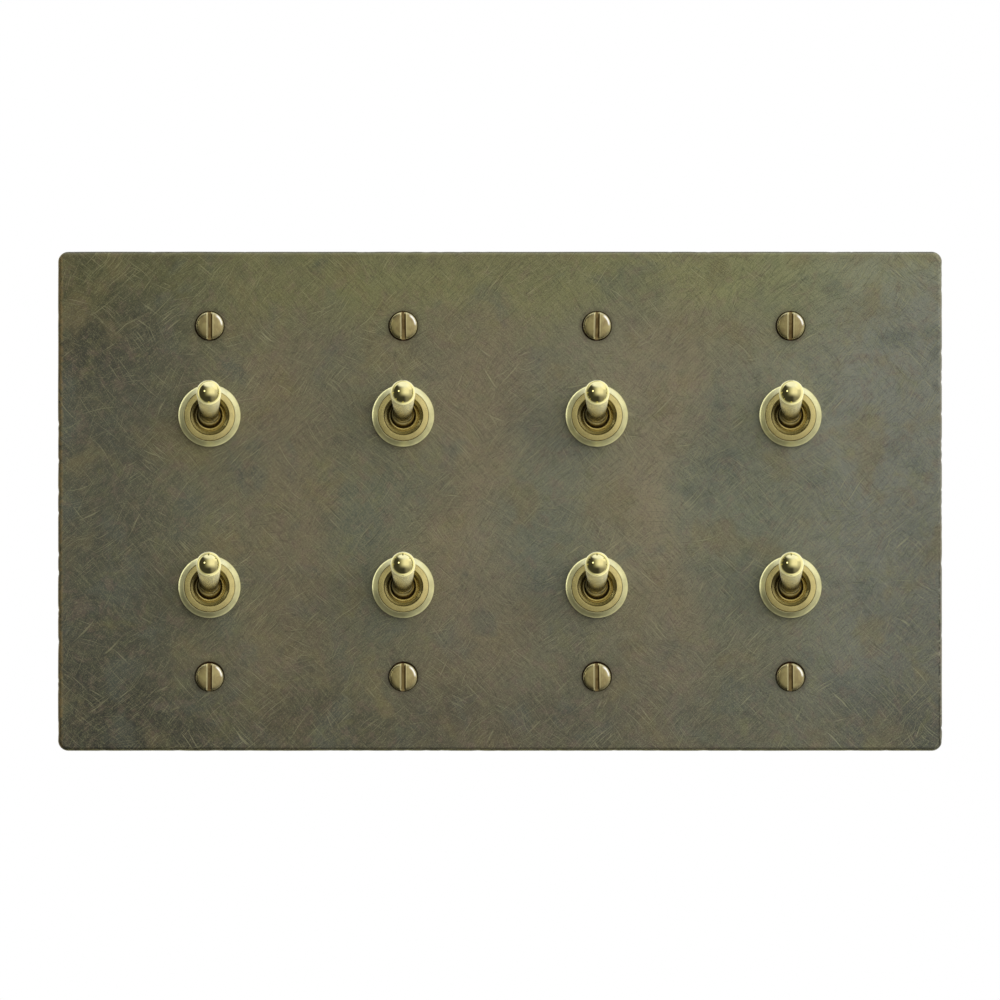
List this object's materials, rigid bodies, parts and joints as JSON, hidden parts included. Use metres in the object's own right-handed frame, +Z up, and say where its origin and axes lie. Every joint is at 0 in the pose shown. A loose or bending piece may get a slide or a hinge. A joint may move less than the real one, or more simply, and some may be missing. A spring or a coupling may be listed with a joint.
{
  "type": "toggle wall switch",
  "caption": "Multi-gang metal wall plate with bat-handle toggle switches, slotted fixing screws and rear switch bodies with terminals.",
  "frame": {"origin": "centre of the plate's back face, in the plane that lies on the wall", "axes": "+X to the right along the plate, +Z up with the handles' up position, -Y out of the wall towards the user, +Y into the wall box"},
  "size_m": [0.2102, 0.0454, 0.1188],
  "materials": {
    "plate": "antique brass: satin, finely scratched, with brown and blue-grey patina",
    "screw_brass": "aged brass, semi-polished head with a dark slot",
    "satin_brass": "satin pale brass with polished edges",
    "polished_brass": "polished pale brass",
    "plated_steel": "bright zinc or nickel plate",
    "phenolic": "black moulded phenolic, slightly mottled",
    "contact_copper": "stamped copper alloy",
    "earth_green": "green dyed zinc plate on the earth screw"
  },
  "bodies": {
    "plate_assembly": {"cover_plate": "plate", "plate_screw_upper1": "screw_brass", "upper1_dress_nut": "satin_brass", "upper1_bushing_frame": "satin_brass", "upper1_lock_nut": "plated_steel", "upper1_switch_case": "phenolic", "plate_screw_lower1": "screw_brass", "lower1_dress_nut": "satin_brass", "lower1_bushing_frame": "satin_brass", "lower1_lock_nut": "plated_steel", "lower1_switch_case": "phenolic", "plate_screw_upper2": "screw_brass", "upper2_dress_nut": "satin_brass", "upper2_bushing_frame": "satin_brass", "upper2_lock_nut": "plated_steel", "upper2_switch_case": "phenolic", "plate_screw_lower2": "screw_brass", "lower2_dress_nut": "satin_brass", "lower2_bushing_frame": "satin_brass", "lower2_lock_nut": "plated_steel", "lower2_switch_case": "phenolic", "plate_screw_upper3": "screw_brass", "upper3_dress_nut": "satin_brass", "upper3_bushing_frame": "satin_brass", "upper3_lock_nut": "plated_steel", "upper3_switch_case": "phenolic", "plate_screw_lower3": "screw_brass", "lower3_dress_nut": "satin_brass", "lower3_bushing_frame": "satin_brass", "lower3_lock_nut": "plated_steel", "lower3_switch_case": "phenolic", "plate_screw_upper4": "screw_brass", "upper4_dress_nut": "satin_brass", "upper4_bushing_frame": "satin_brass", "upper4_lock_nut": "plated_steel", "upper4_switch_case": "phenolic", "plate_screw_lower4": "screw_brass", "lower4_dress_nut": "satin_brass", "lower4_bushing_frame": "satin_brass", "lower4_lock_nut": "plated_steel", "lower4_switch_case": "phenolic", "earth_terminal_block": "satin_brass", "earth_terminal_screw": "earth_green"},
    "lever_upper1": {"upper1_lever": "polished_brass"},
    "rocker_upper1": {"upper1_rocker_contact": "contact_copper"},
    "lever_lower1": {"lower1_lever": "polished_brass"},
    "rocker_lower1": {"lower1_rocker_contact": "contact_copper"},
    "lever_upper2": {"upper2_lever": "polished_brass"},
    "rocker_upper2": {"upper2_rocker_contact": "contact_copper"},
    "lever_lower2": {"lower2_lever": "polished_brass"},
    "rocker_lower2": {"lower2_rocker_contact": "contact_copper"},
    "lever_upper3": {"upper3_lever": "polished_brass"},
    "rocker_upper3": {"upper3_rocker_contact": "contact_copper"},
    "lever_lower3": {"lower3_lever": "polished_brass"},
    "rocker_lower3": {"lower3_rocker_contact": "contact_copper"},
    "lever_upper4": {"upper4_lever": "polished_brass"},
    "rocker_upper4": {"upper4_rocker_contact": "contact_copper"},
    "lever_lower4": {"lower4_lever": "polished_brass"},
    "rocker_lower4": {"lower4_rocker_contact": "contact_copper"}
  },
  "joints": [
    {"name": "lever_upper1_throw", "type": "hinge", "parent": "plate_assembly", "child": "lever_upper1", "pos_m": [-0.06906, -0.00105, 0.02035], "axis": [1, 0, 0], "range_deg": [0, 32]},
    {"name": "rocker_upper1_rock", "type": "hinge", "parent": "plate_assembly", "child": "rocker_upper1", "pos_m": [-0.06906, 0.01159, 0.02035], "axis": [1, 0, 0], "range_deg": [-20, 0]},
    {"name": "lever_lower1_throw", "type": "hinge", "parent": "plate_assembly", "child": "lever_lower1", "pos_m": [-0.06906, -0.00105, -0.02035], "axis": [1, 0, 0], "range_deg": [0, 32]},
    {"name": "rocker_lower1_rock", "type": "hinge", "parent": "plate_assembly", "child": "rocker_lower1", "pos_m": [-0.06906, 0.01159, -0.02035], "axis": [1, 0, 0], "range_deg": [-20, 0]},
    {"name": "lever_upper2_throw", "type": "hinge", "parent": "plate_assembly", "child": "lever_upper2", "pos_m": [-0.02302, -0.00105, 0.02035], "axis": [1, 0, 0], "range_deg": [0, 32]},
    {"name": "rocker_upper2_rock", "type": "hinge", "parent": "plate_assembly", "child": "rocker_upper2", "pos_m": [-0.02302, 0.01159, 0.02035], "axis": [1, 0, 0], "range_deg": [-20, 0]},
    {"name": "lever_lower2_throw", "type": "hinge", "parent": "plate_assembly", "child": "lever_lower2", "pos_m": [-0.02302, -0.00105, -0.02035], "axis": [1, 0, 0], "range_deg": [0, 32]},
    {"name": "rocker_lower2_rock", "type": "hinge", "parent": "plate_assembly", "child": "rocker_lower2", "pos_m": [-0.02302, 0.01159, -0.02035], "axis": [1, 0, 0], "range_deg": [-20, 0]},
    {"name": "lever_upper3_throw", "type": "hinge", "parent": "plate_assembly", "child": "lever_upper3", "pos_m": [0.02302, -0.00105, 0.02035], "axis": [1, 0, 0], "range_deg": [0, 32]},
    {"name": "rocker_upper3_rock", "type": "hinge", "parent": "plate_assembly", "child": "rocker_upper3", "pos_m": [0.02302, 0.01159, 0.02035], "axis": [1, 0, 0], "range_deg": [-20, 0]},
    {"name": "lever_lower3_throw", "type": "hinge", "parent": "plate_assembly", "child": "lever_lower3", "pos_m": [0.02302, -0.00105, -0.02035], "axis": [1, 0, 0], "range_deg": [0, 32]},
    {"name": "rocker_lower3_rock", "type": "hinge", "parent": "plate_assembly", "child": "rocker_lower3", "pos_m": [0.02302, 0.01159, -0.02035], "axis": [1, 0, 0], "range_deg": [-20, 0]},
    {"name": "lever_upper4_throw", "type": "hinge", "parent": "plate_assembly", "child": "lever_upper4", "pos_m": [0.06906, -0.00105, 0.02035], "axis": [1, 0, 0], "range_deg": [0, 32]},
    {"name": "rocker_upper4_rock", "type": "hinge", "parent": "plate_assembly", "child": "rocker_upper4", "pos_m": [0.06906, 0.01159, 0.02035], "axis": [1, 0, 0], "range_deg": [-20, 0]},
    {"name": "lever_lower4_throw", "type": "hinge", "parent": "plate_assembly", "child": "lever_lower4", "pos_m": [0.06906, -0.00105, -0.02035], "axis": [1, 0, 0], "range_deg": [0, 32]},
    {"name": "rocker_lower4_rock", "type": "hinge", "parent": "plate_assembly", "child": "rocker_lower4", "pos_m": [0.06906, 0.01159, -0.02035], "axis": [1, 0, 0], "range_deg": [-20, 0]}
  ],
  "couplings": [
    {"joint": "rocker_upper1_rock", "follows": "lever_upper1_throw", "ratio": -0.625},
    {"joint": "rocker_lower1_rock", "follows": "lever_lower1_throw", "ratio": -0.625},
    {"joint": "rocker_upper2_rock", "follows": "lever_upper2_throw", "ratio": -0.625},
    {"joint": "rocker_lower2_rock", "follows": "lever_lower2_throw", "ratio": -0.625},
    {"joint": "rocker_upper3_rock", "follows": "lever_upper3_throw", "ratio": -0.625},
    {"joint": "rocker_lower3_rock", "follows": "lever_lower3_throw", "ratio": -0.625},
    {"joint": "rocker_upper4_rock", "follows": "lever_upper4_throw", "ratio": -0.625},
    {"joint": "rocker_lower4_rock", "follows": "lever_lower4_throw", "ratio": -0.625}
  ]
}
